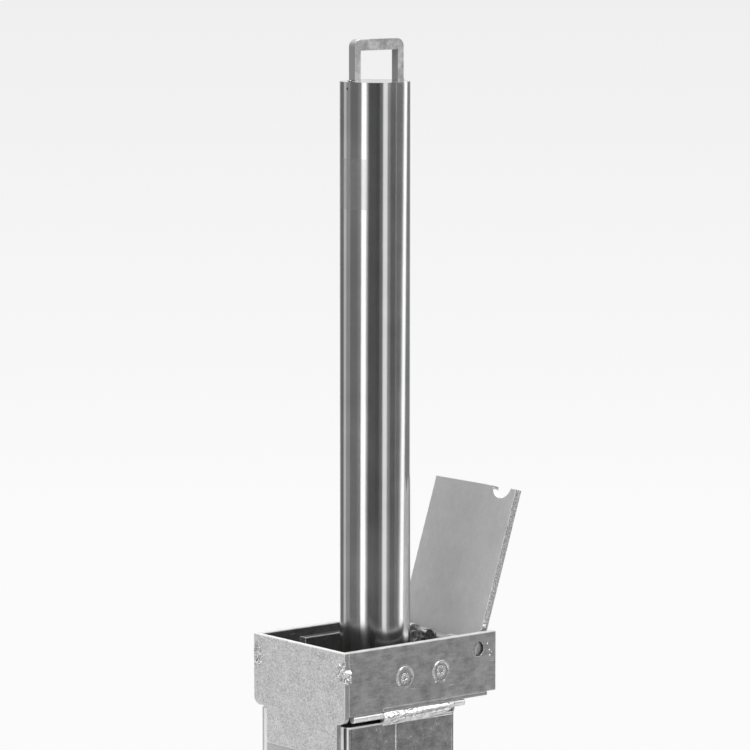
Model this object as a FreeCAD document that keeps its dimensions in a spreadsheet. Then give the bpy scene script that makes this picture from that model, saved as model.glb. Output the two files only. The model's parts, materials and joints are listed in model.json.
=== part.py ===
import FreeCAD, Part
import Sketcher
import math
import os
import re

# Telescopic bollard, raised, with the lid of its ground box thrown open.
# X runs along the box, -Y is the long side with the plug welds in view, +Z is up.
# The origin is on the underside of the casing's base plate, below the post's axis.

sizes = {
    # Ground box above the casing
    "rim_height": 870,
    "box_length": 210,
    "box_width": 156,
    "wall_height": 65,
    "wall_thick": 8,
    "bar_edge": 1,
    "end_plate_thick": 6,
    "end_plate_height": 77,
    "end_plate_round": 9,
    "tongue_inset_near": 14,
    "tongue_inset_far": 22,
    "tongue_drop": 116.5,
    "tongue_root": 3,
    "floor_thick": 4,
    "floor_left": 52,
    "bend_radius": 12,
    "flange_gap": 0.5,
    "flange_drop": 4.7,
    # Buried casing
    "casing_inset": 3,
    "casing_wall": 4,
    "casing_round": 6,
    "casing_drop": 81,
    "base_thick": 8,
    "base_lip": 5,
    "drain_bore": 20,
    "base_weld_leg": 4,
    "weld_slope": 40,
    "buffer_outer": 100,
    "buffer_inner": 40,
    "buffer_thick": 10,
    # Packing bars and seam welds between floor plate and casing
    "packing_bar": 8,
    "packing_inset": 1,
    "packing_lead": 7,
    "packing_tail": 11,
    "seam_proud": 1.5,
    "seam_lap": 3.5,
    "seam_shoulder": 2.7,
    "seam_heel": 2,
    "seam_root": 3,
    "seam_throat": 7,
    "seam_left": 52,
    "seam_short": 4,
    "corner_weld_drop": 25,
    "corner_weld_proud": 2.2,
    "corner_weld_half": 9,
    "corner_weld_reach": 9,
    "corner_weld_slope": 3,
    # Lid rests and their plug welds
    "rest_length": 100,
    "rest_shift": 2,
    "rest_height": 50,
    "rest_thick": 10,
    "lid_seat_gap": 0.2,
    "plug_bore": 24,
    "plug_pitch": 50,
    "plug_depth": 34,
    "plug_sunk": 1,
    # Lid and its hinge rod
    "hinge_from_end": 25,
    "hinge_clear": 2.6,
    "hinge_depth": 17,
    "hinge_rod": 16,
    "hinge_play": 0.05,
    "rod_sunk": 2.5,
    "slot_wide": 2.5,
    "slot_deep": 2,
    "lid_thick": 8,
    "lid_side_gap": 3,
    "lid_end_gap": 0.8,
    "lid_tail": 12,
    "lid_rest_slack": 0.1,
    "notch_radius": 14.6,
    "notch_depth": 12.5,
    "notch_from_side": 23.1,
    "weld_run": 40,
    "weld_run_start": 20,
    "hinge_weld_reach": 10,
    "hinge_weld_root": 2.7,
    "hinge_weld_heel": 8.5,
    "hinge_weld_up": 3.2,
    # Sliding post
    "tube_outer": 76.1,
    "tube_wall": 3.2,
    "tube_raised": 595,
    "tube_below": 190,
    "cap_thick": 4,
    "vent_bore": 2.5,
    "vent_below_top": 7,
    "handle_width": 67,
    "handle_height": 45,
    "handle_shift": 2,
    "handle_bar": 12,
    "handle_leg": 8,
    "handle_depth": 10,
    "handle_round": 8.5,
    "handle_weld_out": 2,
    "handle_weld_up": 2.5,
    "foot_thick": 8,
    "foot_gap": 2,
    "foot_round": 4,
    "foot_bore": 60,
    "sleeve_wall": 5,
    "sleeve_play": 1.4,
    "sleeve_clear": 2.55,
    "stop_gap": 0.5,
    # Lock on its tilting arm
    "lock_clear": 5.35,
    "lock_below_rim": 10.8,
    "case_width": 26,
    "case_front": 6,
    "case_depth": 28,
    "case_bottom": 40,
    "cylinder_bore": 22,
    "cylinder_length": 30,
    "plug_barrel": 10.8,
    "turn_play": 0.05,
    "key_slot_wide": 2,
    "key_slot_tall": 7,
    "key_slot_deep": 12,
    "bezel_outer": 26.6,
    "bezel_thick": 4,
    "bolt_round": 10,
    "bolt_length": 28,
    "bolt_gap": 1.5,
    "bolt_aside": 17,
    "bolt_below_rim": 30,
    "bolt_hole_gap": 1,
    "bolt_sink": 9.6,
    "bolt_drift": 2,
    "lug_clear": 2,
    "pivot_below_rim": 42,
    "pivot_round": 8,
    "lug_radius": 8,
    "ear_thick": 4,
    "ear_gap": 0.5,
    "lug_wide": 12,
    "dust_cap_round": 15,
    "dust_cap_thick": 3,
    "cap_pin_round": 2.5,
    "cap_pin_from_lock": 12.6,
    "cap_strap": 4,
    "strap_past_pin": 1.9,
    "cap_ear": 2.2,
    "cap_gap": 0.4,
}

# Sizes that follow from the ones above, so that neighbours keep their clearances.
derived = {
    "casing_side": "box_width - 2 * casing_inset",
    "sleeve_outer": "tube_outer + 2 * sleeve_play + 2 * sleeve_wall",
    "casing_right": "sleeve_outer / 2 + sleeve_clear + casing_wall",
    "lock_from_axis": "tube_outer / 2 + lock_clear + case_width / 2",
    "hinge_ahead": "lock_from_axis + case_width / 2 + hinge_clear + hinge_rod / 2",
    "box_right": "hinge_ahead + hinge_from_end",
    "box_left": "box_right - box_length",
    "tongue_near": "tongue_inset_near - box_width / 2",
    "tongue_far": "box_width / 2 - tongue_inset_far",
    "packing_start": "box_left + end_plate_thick + packing_lead",
    "pivot_aside": "box_width / 2 - wall_thick - rest_thick - lug_clear - lug_radius",
    "notch_aside": "box_width / 2 - wall_thick - lid_side_gap - notch_from_side",
}

os.makedirs("parts", exist_ok=True)
doc = FreeCAD.newDocument("TelescopicBollard")


def makeSheet():
    sheet = doc.addObject("Spreadsheet::Sheet", "Sizes")
    cells = {name: str(value) for name, value in sizes.items()}
    cells.update({name: f"={text}" for name, text in derived.items()})
    for row, (name, content) in enumerate(cells.items(), start=1):
        sheet.set(f"A{row}", name)
        sheet.set(f"B{row}", content)
        sheet.setAlias(f"B{row}", name)
    doc.recompute()
    return sheet


def formula(text):
    """Point each size named in an expression at its cell."""
    return re.sub(r"[a-z][a-z_]*", lambda word: cellOf(word.group(0)), text)


def cellOf(word):
    return f"Sizes.{word}" if word in sizes or word in derived else word


def bind(thing, path, text):
    thing.setExpression(path, formula(text))


def size(name):
    return float(sheet.get(name))


def close(one, other):
    return abs(one - other) < 1e-4


def newBody(label):
    body = doc.addObject("PartDesign::Body", label)
    body.Label = label
    return body


def sketchOn(body, role, level="0"):
    """Open a sketch on an origin plane, moved along its normal by level."""
    sketch = body.newObject("Sketcher::SketchObject", f"{body.Label}_sketch")
    plane = next(item for item in body.Origin.OriginFeatures if item.Role == role)
    sketch.AttachmentSupport = (plane, [""])
    sketch.MapMode = "FlatFace"
    bind(sketch, "AttachmentOffset.Base.z", level)
    return sketch


def fixPoint(sketch, element, spot, across, up):
    for kind, text in (("DistanceX", across), ("DistanceY", up)):
        index = sketch.addConstraint(Sketcher.Constraint(kind, -1, 1, element, spot, 1.0))
        bind(sketch, f"Constraints[{index}]", text)


def outline(sketch, corners):
    """Draw a closed straight-sided outline whose corners are expressions."""
    count = len(corners)
    start = sketch.GeometryCount
    ring = [FreeCAD.Vector(math.cos(turn), math.sin(turn), 0)
            for turn in (2 * math.pi * step / count for step in range(count))]
    for step in range(count):
        sketch.addGeometry(Part.LineSegment(ring[step], ring[(step + 1) % count]))
    for step in range(count):
        following = start + (step + 1) % count
        sketch.addConstraint(Sketcher.Constraint("Coincident", start + step, 2, following, 1))
    for step, (across, up) in enumerate(corners):
        fixPoint(sketch, start + step, 1, across, up)


def rectangle(sketch, left, right, low, high):
    outline(sketch, [(left, low), (right, low), (right, high), (left, high)])


def circle(sketch, across, up, diameter):
    centre = FreeCAD.Vector(0, 0, 0)
    element = sketch.addGeometry(Part.Circle(centre, FreeCAD.Vector(0, 0, 1), 5))
    fixPoint(sketch, element, 3, across, up)
    index = sketch.addConstraint(Sketcher.Constraint("Diameter", element, 10.0))
    bind(sketch, f"Constraints[{index}]", diameter)


def pad(body, sketch, length, sides="One side"):
    feature = body.newObject("PartDesign::Pad", f"{body.Label}_pad")
    feature.Profile = sketch
    feature.SideType = sides
    bind(feature, "Length", length)
    doc.recompute()
    return feature


def cut(body, sketch, length=None, reverse=False):
    """Cut a sketch out of a body: right through it, or to a depth."""
    before = body.Shape.Volume
    feature = body.newObject("PartDesign::Pocket", f"{body.Label}_cut")
    feature.Profile = sketch
    feature.Reversed = reverse
    if length is None:
        feature.Type = "ThroughAll"
        feature.SideType = "Symmetric"
    else:
        bind(feature, "Length", length)
    doc.recompute()
    if body.Shape.Volume > before - 1e-3:
        raise ValueError(f"a cut in {body.Label} removed nothing")
    return feature


def roundEdges(body, radius, axis, chosen=lambda middle: True):
    """Round the straight edges along an axis whose middle is chosen."""
    names = []
    for index, edge in enumerate(body.Shape.Edges, start=1):
        if edge.Curve.TypeId != "Part::GeomLine":
            continue
        if close(abs(edge.tangentAt(edge.FirstParameter).dot(axis)), 1) and chosen(edge.CenterOfMass):
            names.append(f"Edge{index}")
    if not names:
        raise ValueError(f"no edge to round on {body.Label}")
    rounded = body.Tip
    fillet = body.newObject("PartDesign::Fillet", f"{body.Label}_round")
    fillet.Base = (rounded, names)
    bind(fillet, "Radius", radius)
    doc.recompute()
    return fillet


def place(thing, across, along, up, rotation=FreeCAD.Rotation()):
    thing.Placement = FreeCAD.Placement(FreeCAD.Vector(), rotation)
    bind(thing, "Placement.Base.x", across)
    bind(thing, "Placement.Base.y", along)
    bind(thing, "Placement.Base.z", up)


def rod(label, diameter, length, across, along, up, rotation=FreeCAD.Rotation()):
    thing = doc.addObject("Part::Cylinder", label)
    thing.Label = label
    bind(thing, "Radius", f"({diameter}) / 2")
    bind(thing, "Height", length)
    place(thing, across, along, up, rotation)
    return thing


def group(label, members):
    thing = doc.addObject("Part::Compound", label)
    thing.Label = label
    thing.Links = members
    doc.recompute()
    return thing


xAxis = FreeCAD.Vector(1, 0, 0)
yAxis = FreeCAD.Vector(0, 1, 0)
zAxis = FreeCAD.Vector(0, 0, 1)
alongX = FreeCAD.Rotation(yAxis, 90)
alongY = FreeCAD.Rotation(xAxis, -90)

# Places that several sub-parts share, each worked out from the sizes.
boxLeft = "box_left"
boxRight = "box_right"
wallEnd = "(box_left + end_plate_thick)"
wallInside = "(box_width / 2 - wall_thick)"
floorTop = "(rim_height - wall_height)"
floorUnder = f"({floorTop} - floor_thick)"
casingLeft = wallEnd
casingRight = "casing_right"
casingMiddle = f"(({casingLeft} + {casingRight}) / 2)"
casingTop = "(rim_height - casing_drop)"
sleeveBore = "(tube_outer + 2 * sleeve_play)"
tubeFoot = "(rim_height - tube_below)"
tubeTop = "(rim_height + tube_raised)"
hingeAcross = "hinge_ahead"
hingeUp = "(rim_height - hinge_depth)"
restTop = f"({hingeUp} + hinge_rod / 2 - lid_seat_gap)"
lockUp = "(rim_height - lock_below_rim)"
boltUp = "(rim_height - bolt_below_rim)"
pivotUp = "(rim_height - pivot_below_rim)"
lockHole = "(cylinder_bore + 2 * turn_play)"


def casingTube():
    body = newBody("casing_tube")
    outside = sketchOn(body, "XY_Plane", "base_thick")
    rectangle(outside, casingLeft, casingRight, "-casing_side / 2", "casing_side / 2")
    pad(body, outside, f"{casingTop} - base_thick")
    inside = sketchOn(body, "XY_Plane", "base_thick")
    half = "(casing_side / 2 - casing_wall)"
    rectangle(inside, f"{casingLeft} + casing_wall", f"{casingRight} - casing_wall", f"-{half}", half)
    cut(body, inside)
    outer = size("casing_side") / 2
    inner = outer - size("casing_wall")
    roundEdges(body, "casing_round", zAxis, lambda middle: close(abs(middle.y), outer))
    roundEdges(body, "casing_round - casing_wall", zAxis, lambda middle: close(abs(middle.y), inner))
    return body


def casingBasePlate():
    body = newBody("casing_base_plate")
    plate = sketchOn(body, "XY_Plane")
    half = "(casing_side / 2 + base_lip)"
    rectangle(plate, f"{casingLeft} - base_lip", f"{casingRight} + base_lip", f"-{half}", half)
    pad(body, plate, "base_thick")
    drain = sketchOn(body, "XY_Plane")
    circle(drain, casingMiddle, "0", "drain_bore")
    cut(body, drain)
    roundEdges(body, "casing_round", zAxis)
    return body


def baseWeld():
    """Fillet weld that runs round the foot of the casing."""
    body = newBody("base_weld")
    foot = sketchOn(body, "XY_Plane", "base_thick")
    half = "(casing_side / 2 + base_weld_leg)"
    rectangle(foot, f"{casingLeft} - base_weld_leg", f"{casingRight} + base_weld_leg", f"-{half}", half)
    bead = pad(body, foot, "base_weld_leg")
    bind(bead, "TaperAngle", "-weld_slope")
    doc.recompute()
    casing = sketchOn(body, "XY_Plane", "base_thick")
    rectangle(casing, casingLeft, casingRight, "-casing_side / 2", "casing_side / 2")
    cut(body, casing)
    inner = size("casing_side") / 2
    roundEdges(body, "casing_round", zAxis, lambda middle: close(abs(middle.y), inner))
    return body


def baseBuffer():
    body = newBody("base_buffer")
    ring = sketchOn(body, "XY_Plane", "base_thick")
    circle(ring, casingMiddle, "0", "buffer_outer")
    circle(ring, casingMiddle, "0", "buffer_inner")
    pad(body, ring, "buffer_thick")
    return body


def endPlate():
    """Plate across the box's left end, with the tongue that laps the casing."""
    body = newBody("end_plate")
    face = sketchOn(body, "YZ_Plane", boxLeft)
    shoulder = "(rim_height - end_plate_height)"
    tip = "(rim_height - tongue_drop)"
    outline(face, [("-box_width / 2", "rim_height"), ("box_width / 2", "rim_height"),
                   ("box_width / 2", shoulder), ("tongue_far", shoulder), ("tongue_far", tip),
                   ("tongue_near", tip), ("tongue_near", shoulder), ("-box_width / 2", shoulder)])
    pad(body, face, "end_plate_thick")
    low = size("rim_height") - size("end_plate_height")
    wide = size("box_width") / 2
    roundEdges(body, "end_plate_round", xAxis,
               lambda middle: close(middle.z, low) and close(abs(middle.y), wide))
    roundEdges(body, "tongue_root", xAxis,
               lambda middle: close(middle.z, low) and abs(middle.y) < wide - size("end_plate_round"))
    roundEdges(body, "bar_edge", yAxis, lambda middle: close(middle.z, size("rim_height")))
    return body


def longWall(label, start):
    """Flat bar down one long side, notched for the floor plate and bored for rod and plugs."""
    body = newBody(label)
    bar = sketchOn(body, "XZ_Plane", start)
    outline(bar, [(wallEnd, floorUnder), ("-floor_left", floorUnder), ("-floor_left", floorTop),
                  (boxRight, floorTop), (boxRight, "rim_height"), (wallEnd, "rim_height")])
    pad(body, bar, "wall_thick")
    holes = sketchOn(body, "XZ_Plane", start)
    circle(holes, hingeAcross, hingeUp, "hinge_rod + 2 * hinge_play")
    circle(holes, "rest_shift - plug_pitch / 2", "rim_height - plug_depth", "plug_bore")
    circle(holes, "rest_shift + plug_pitch / 2", "rim_height - plug_depth", "plug_bore")
    cut(body, holes, "wall_thick", True)
    roundEdges(body, "bar_edge", xAxis)
    return body


def floorPlate():
    """Plate under the box, folded up at its right end to close it."""
    body = newBody("floor_plate")
    fold = sketchOn(body, "XZ_Plane")
    outside = boxRight
    inside = f"({boxRight} - floor_thick)"
    top = "(rim_height - flange_drop)"
    outline(fold, [("-floor_left", floorUnder), (outside, floorUnder), (outside, top),
                   (inside, top), (inside, floorTop), ("-floor_left", floorTop)])
    pad(body, fold, f"2 * ({wallInside} - flange_gap)", "Symmetric")
    under = size("rim_height") - size("wall_height") - size("floor_thick")
    end = size("box_right")
    roundEdges(body, "bend_radius", yAxis,
               lambda middle: close(middle.z, under) and close(middle.x, end))
    roundEdges(body, "bend_radius - floor_thick", yAxis,
               lambda middle: close(middle.z, under + size("floor_thick"))
               and close(middle.x, end - size("floor_thick")))
    flat = sketchOn(body, "XY_Plane", floorUnder)
    rectangle(flat, "-floor_left", f"{boxRight} - bend_radius", "-box_width / 2", "box_width / 2")
    pad(body, flat, "floor_thick")
    hole = sketchOn(body, "XY_Plane", floorUnder)
    circle(hole, "0", "0", sleeveBore)
    cut(body, hole)
    return body


def guideSleeve():
    """Tube under the floor plate that guides the post and stops its foot."""
    body = newBody("guide_sleeve")
    ring = sketchOn(body, "XY_Plane", f"{tubeFoot} + stop_gap")
    circle(ring, "0", "0", "sleeve_outer")
    circle(ring, "0", "0", sleeveBore)
    pad(body, ring, f"{floorUnder} - {tubeFoot} - stop_gap")
    return body


barUp = f"({floorUnder} - packing_bar / 2)"
barAside = "(casing_side / 2 - packing_inset)"
crossLength = f"(2 * ({barAside} - packing_bar / 2 - ear_gap))"


def packingBars():
    """Round bars that fill the gap between the floor plate and the casing."""
    length = f"{casingRight} + packing_tail - packing_start"
    rod("near_packing_bar", "packing_bar", length, "packing_start", f"-{barAside}", barUp, alongX)
    rod("far_packing_bar", "packing_bar", length, "packing_start", barAside, barUp, alongX)
    rod("cross_packing_bar", "packing_bar", crossLength, f"{casingRight} - packing_inset",
        f"-{crossLength} / 2", barUp, alongY)


def seamWeld(label, role, start, length, outward):
    """Bead from the floor plate over a packing bar to the casing's face."""
    body = newBody(label)
    bead = sketchOn(body, role, start)
    lap = "casing_inset"
    belly = f"({lap} + seam_proud)"
    outline(bead, [(outward(lap), floorUnder),
                   (outward(belly), f"{floorUnder} - seam_shoulder"),
                   (outward(belly), f"{casingTop} + seam_heel"),
                   (outward("seam_proud"), f"{casingTop} - seam_lap"),
                   (outward("0"), f"{casingTop} - seam_lap"),
                   (outward("0"), casingTop),
                   (outward("-seam_root"), casingTop),
                   (outward("-seam_root"), f"{floorUnder} - seam_throat")])
    pad(body, bead, length)
    bar = sketchOn(body, role, start)
    circle(bar, outward("-packing_inset"), barUp, "packing_bar")
    cut(body, bar, length, True)
    return body


def seamWelds():
    run = f"seam_left + {casingRight} - seam_short"
    seamWeld("near_seam_weld", "YZ_Plane", "-seam_left", run, lambda out: f"-(casing_side / 2 + {out})")
    seamWeld("far_seam_weld", "YZ_Plane", "-seam_left", run, lambda out: f"(casing_side / 2 + {out})")
    seamWeld("cross_seam_weld", "XZ_Plane", f"-{crossLength} / 2", crossLength,
             lambda out: f"({casingRight} + {out})")


def cornerWelds():
    """Weld spots where the end plate meets the ends of the long walls."""
    face = boxLeft
    proud = f"({boxLeft} - corner_weld_proud)"
    side = "(-box_width / 2)"
    around = [(face, f"{side} + corner_weld_reach"),
              (proud, f"{side} + corner_weld_reach - corner_weld_slope"), (proud, side),
              (face, f"{side} - corner_weld_proud"), (wallEnd, f"{side} - corner_weld_proud"),
              (f"{wallEnd} + corner_weld_proud", side), (face, side)]
    edge = "(box_width / 2 - bar_edge)"
    flat = [(face, edge), (proud, f"{edge} - corner_weld_proud"),
            (proud, f"{edge} - corner_weld_reach"),
            (face, f"{edge} - corner_weld_reach - corner_weld_proud")]
    members = []
    for name, section in (("near", around), ("far", flat)):
        body = newBody(f"corner_weld_{name}")
        bead = sketchOn(body, "XY_Plane", "rim_height - corner_weld_drop - corner_weld_half")
        outline(bead, section)
        pad(body, bead, "2 * corner_weld_half")
        members.append(body)
    group("corner_welds", members)


def lidRest(label, start):
    """Bar inside a long wall that the closed lid lies on."""
    body = newBody(label)
    bar = sketchOn(body, "XZ_Plane", start)
    rectangle(bar, "rest_shift - rest_length / 2", "rest_shift + rest_length / 2",
              f"{restTop} - rest_height", restTop)
    pad(body, bar, "rest_thick")
    roundEdges(body, "bar_edge", xAxis)
    return body


def plugWelds(label, start, rotation):
    """Two weld plugs that fill the bores of a long wall and hold its lid rest."""
    members = []
    for name, across in (("left", "rest_shift - plug_pitch / 2"), ("right", "rest_shift + plug_pitch / 2")):
        members.append(rod(f"{label}_{name}", "plug_bore", "wall_thick - plug_sunk", across, start,
                           "rim_height - plug_depth", rotation))
    group(label, members)


def lidAngle():
    """The open lid leans on the top inner edge of the folded end wall."""
    reach = size("hinge_from_end") - size("floor_thick")
    rise = size("hinge_depth") - size("flange_drop")
    back = size("hinge_rod") / 2 + size("lid_thick") + size("lid_rest_slack")
    lean = math.acos(back / math.hypot(reach, rise)) - math.atan2(rise, reach)
    return 90 + math.degrees(lean)


def openLid(thing):
    place(thing, hingeAcross, "0", hingeUp, FreeCAD.Rotation(yAxis, lidAngle()))


lidReach = f"({hingeAcross} - {wallEnd} - lid_end_gap)"


def lidPlate():
    """Lid plate with a finger notch, drawn shut about the hinge rod's axis."""
    body = newBody("lid_plate")
    plate = sketchOn(body, "XY_Plane", "hinge_rod / 2")
    half = f"({wallInside} - lid_side_gap)"
    rectangle(plate, f"-{lidReach}", "lid_tail", f"-{half}", half)
    pad(body, plate, "lid_thick")
    notch = sketchOn(body, "XY_Plane", "hinge_rod / 2")
    circle(notch, f"-{lidReach} - notch_radius + notch_depth", "-notch_aside", "2 * notch_radius")
    cut(body, notch, "lid_thick", True)
    openLid(body)
    return body


def hingeRod():
    """Round bar welded under the lid, slotted at both ends, turning in the walls."""
    body = newBody("hinge_rod")
    bar = sketchOn(body, "XZ_Plane")
    circle(bar, "0", "0", "hinge_rod")
    span = "(box_width - 2 * rod_sunk)"
    pad(body, bar, span, "Symmetric")
    for start, reverse in ((f"{span} / 2", False), (f"-{span} / 2", True)):
        slot = sketchOn(body, "XZ_Plane", start)
        rectangle(slot, "-hinge_rod", "hinge_rod", "-slot_wide / 2", "slot_wide / 2")
        cut(body, slot, "slot_deep", reverse)
    openLid(body)
    return body


def hingeWelds():
    """Weld runs in the corner between the lid and its hinge rod."""
    members = []
    for name, start in (("near", "-weld_run_start"), ("far", "weld_run_start + weld_run")):
        body = newBody(f"hinge_weld_{name}")
        bead = sketchOn(body, "XZ_Plane", f"-({start})")
        outline(bead, [("-hinge_weld_reach", "hinge_rod / 2"), ("-hinge_weld_root", "hinge_rod / 2"),
                       ("0", "0"), ("-hinge_weld_heel", "hinge_weld_up")])
        pad(body, bead, "weld_run")
        bar = sketchOn(body, "XZ_Plane", f"-({start})")
        circle(bar, "0", "0", "hinge_rod")
        cut(body, bar, "weld_run", True)
        members.append(body)
    thing = group("hinge_welds", members)
    openLid(thing)
    return thing


def postTube():
    body = newBody("post_tube")
    ring = sketchOn(body, "XY_Plane", tubeFoot)
    circle(ring, "0", "0", "tube_outer")
    circle(ring, "0", "0", "tube_outer - 2 * tube_wall")
    pad(body, ring, "tube_below + tube_raised")
    vent = sketchOn(body, "YZ_Plane")
    circle(vent, "0", f"{tubeTop} - vent_below_top", "vent_bore")
    cut(body, vent, "tube_outer")
    slot = sketchOn(body, "YZ_Plane")
    margin = "(bolt_round / 2 + bolt_hole_gap)"
    rectangle(slot, f"bolt_aside - bolt_drift - {margin}", f"bolt_aside + {margin}",
              f"{boltUp} - bolt_sink - {margin}", f"{boltUp} + {margin}")
    cut(body, slot, "tube_outer", True)
    return body


def postCap():
    body = newBody("post_cap")
    disc = sketchOn(body, "XY_Plane", f"{tubeTop} - cap_thick")
    circle(disc, "0", "0", "tube_outer - 2 * tube_wall")
    pad(body, disc, "cap_thick")
    return body


def postHandle():
    """Lifting loop on the post's cap."""
    body = newBody("post_handle")
    loop = sketchOn(body, "XZ_Plane")
    left = "(handle_shift - handle_width / 2)"
    right = "(handle_shift + handle_width / 2)"
    top = f"({tubeTop} + handle_height)"
    under = f"({tubeTop} + handle_height - handle_bar)"
    outline(loop, [(left, tubeTop), (f"{left} + handle_leg", tubeTop), (f"{left} + handle_leg", under),
                   (f"{right} - handle_leg", under), (f"{right} - handle_leg", tubeTop), (right, tubeTop),
                   (right, top), (left, top)])
    pad(body, loop, "handle_depth", "Symmetric")
    peak = size("rim_height") + size("tube_raised") + size("handle_height")
    roundEdges(body, "handle_round", yAxis, lambda middle: close(middle.z, peak))
    return body


def handleWelds():
    """Fillet welds outside the two feet of the loop."""
    members = []
    for name, side in (("left", "-1"), ("right", "1")):
        body = newBody(f"handle_weld_{name}")
        foot = f"(handle_shift + {side} * handle_width / 2)"
        bead = sketchOn(body, "XZ_Plane")
        outline(bead, [(foot, tubeTop), (f"{foot} + {side} * handle_weld_out", tubeTop),
                       (foot, f"{tubeTop} + handle_weld_up")])
        pad(body, bead, "handle_depth", "Symmetric")
        members.append(body)
    group("handle_welds", members)


def postFootPlate():
    """Square plate that keeps the post from turning in the casing."""
    body = newBody("post_foot_plate")
    plate = sketchOn(body, "XY_Plane", f"{tubeFoot} - foot_thick")
    inset = "(casing_wall + foot_gap)"
    half = f"(casing_side / 2 - {inset})"
    rectangle(plate, f"{casingLeft} + {inset}", f"{casingRight} - {inset}", f"-{half}", half)
    pad(body, plate, "foot_thick")
    hole = sketchOn(body, "XY_Plane", f"{tubeFoot} - foot_thick")
    circle(hole, "0", "0", "foot_bore")
    cut(body, hole)
    roundEdges(body, "foot_round", zAxis)
    return body


def lockBracket():
    """Two-eared bracket on the floor plate that carries the lock arm's pivot."""
    body = newBody("lock_bracket")
    channel = sketchOn(body, "XZ_Plane", "-pivot_aside - lug_radius")
    inLeft = "(lock_from_axis - lug_wide / 2 - ear_gap)"
    inRight = "(lock_from_axis + lug_wide / 2 + ear_gap)"
    peak = f"({pivotUp} + lug_radius)"
    outline(channel, [(f"{inLeft} - ear_thick", floorTop), (f"{inRight} + ear_thick", floorTop),
                      (f"{inRight} + ear_thick", peak), (inRight, peak),
                      (inRight, f"{floorTop} + ear_thick"), (inLeft, f"{floorTop} + ear_thick"),
                      (inLeft, peak), (f"{inLeft} - ear_thick", peak)])
    pad(body, channel, "2 * lug_radius")
    hole = sketchOn(body, "YZ_Plane")
    circle(hole, "pivot_aside", pivotUp, "pivot_round + 2 * turn_play")
    cut(body, hole)
    high = size("rim_height") - size("pivot_below_rim") + size("lug_radius")
    roundEdges(body, "lug_radius - turn_play", xAxis, lambda middle: close(middle.z, high))
    return body


def lockPivotPin():
    reach = "(lug_wide / 2 + ear_gap + ear_thick + ear_gap)"
    rod("lock_pivot_pin", "pivot_round", f"2 * {reach}", f"lock_from_axis - {reach}", "pivot_aside",
        pivotUp, alongX)


def lockCase():
    """Arched lock case with the lug that hangs it on its pivot."""
    body = newBody("lock_case")
    arch = sketchOn(body, "XZ_Plane", "-case_front")
    rectangle(arch, "lock_from_axis - case_width / 2", "lock_from_axis + case_width / 2",
              "rim_height - case_bottom", f"{lockUp} + case_width / 2")
    front = pad(body, arch, "case_depth")
    front.Reversed = True
    doc.recompute()
    peak = size("rim_height") - size("lock_below_rim") + size("case_width") / 2
    roundEdges(body, "case_width / 2 - turn_play", yAxis, lambda middle: close(middle.z, peak))
    lug = sketchOn(body, "YZ_Plane", "lock_from_axis - lug_wide / 2")
    rectangle(lug, "case_front + case_depth - ear_gap", "pivot_aside + lug_radius",
              f"{pivotUp} - lug_radius", f"{pivotUp} + lug_radius")
    pad(body, lug, "lug_wide")
    back = size("pivot_aside") + size("lug_radius")
    roundEdges(body, "lug_radius - turn_play", xAxis, lambda middle: close(middle.y, back))
    bores = sketchOn(body, "XZ_Plane", "-case_front")
    circle(bores, "lock_from_axis", lockUp, "cylinder_bore")
    cut(body, bores)
    bolt = sketchOn(body, "YZ_Plane")
    circle(bolt, "bolt_aside", boltUp, "bolt_round + 2 * turn_play")
    cut(body, bolt)
    pivot = sketchOn(body, "YZ_Plane")
    circle(pivot, "pivot_aside", pivotUp, "pivot_round + 2 * turn_play")
    cut(body, pivot)
    return body


def lockCylinder():
    body = newBody("lock_cylinder")
    barrel = sketchOn(body, "XZ_Plane", "-case_front + bezel_thick - cap_gap")
    circle(barrel, "lock_from_axis", lockUp, "cylinder_bore")
    circle(barrel, "lock_from_axis", lockUp, "plug_barrel + 2 * turn_play")
    shell = pad(body, barrel, "cylinder_length")
    shell.Reversed = True
    doc.recompute()
    return body


def keyPlug():
    """Turning plug of the lock, with its key slot."""
    body = newBody("key_plug")
    face = "-case_front + bezel_thick - cap_gap"
    barrel = sketchOn(body, "XZ_Plane", face)
    circle(barrel, "lock_from_axis", lockUp, "plug_barrel")
    core = pad(body, barrel, "cylinder_length")
    core.Reversed = True
    doc.recompute()
    slot = sketchOn(body, "XZ_Plane", face)
    rectangle(slot, "lock_from_axis - key_slot_wide / 2", "lock_from_axis + key_slot_wide / 2",
              f"{lockUp} - key_slot_tall / 2", f"{lockUp} + key_slot_tall / 2")
    cut(body, slot, "key_slot_deep")
    return body


pinUp = lockUp
pinAcross = "(lock_from_axis + cap_pin_from_lock)"
pinAlong = "(case_front - bezel_thick - cap_gap - dust_cap_thick / 2)"


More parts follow.
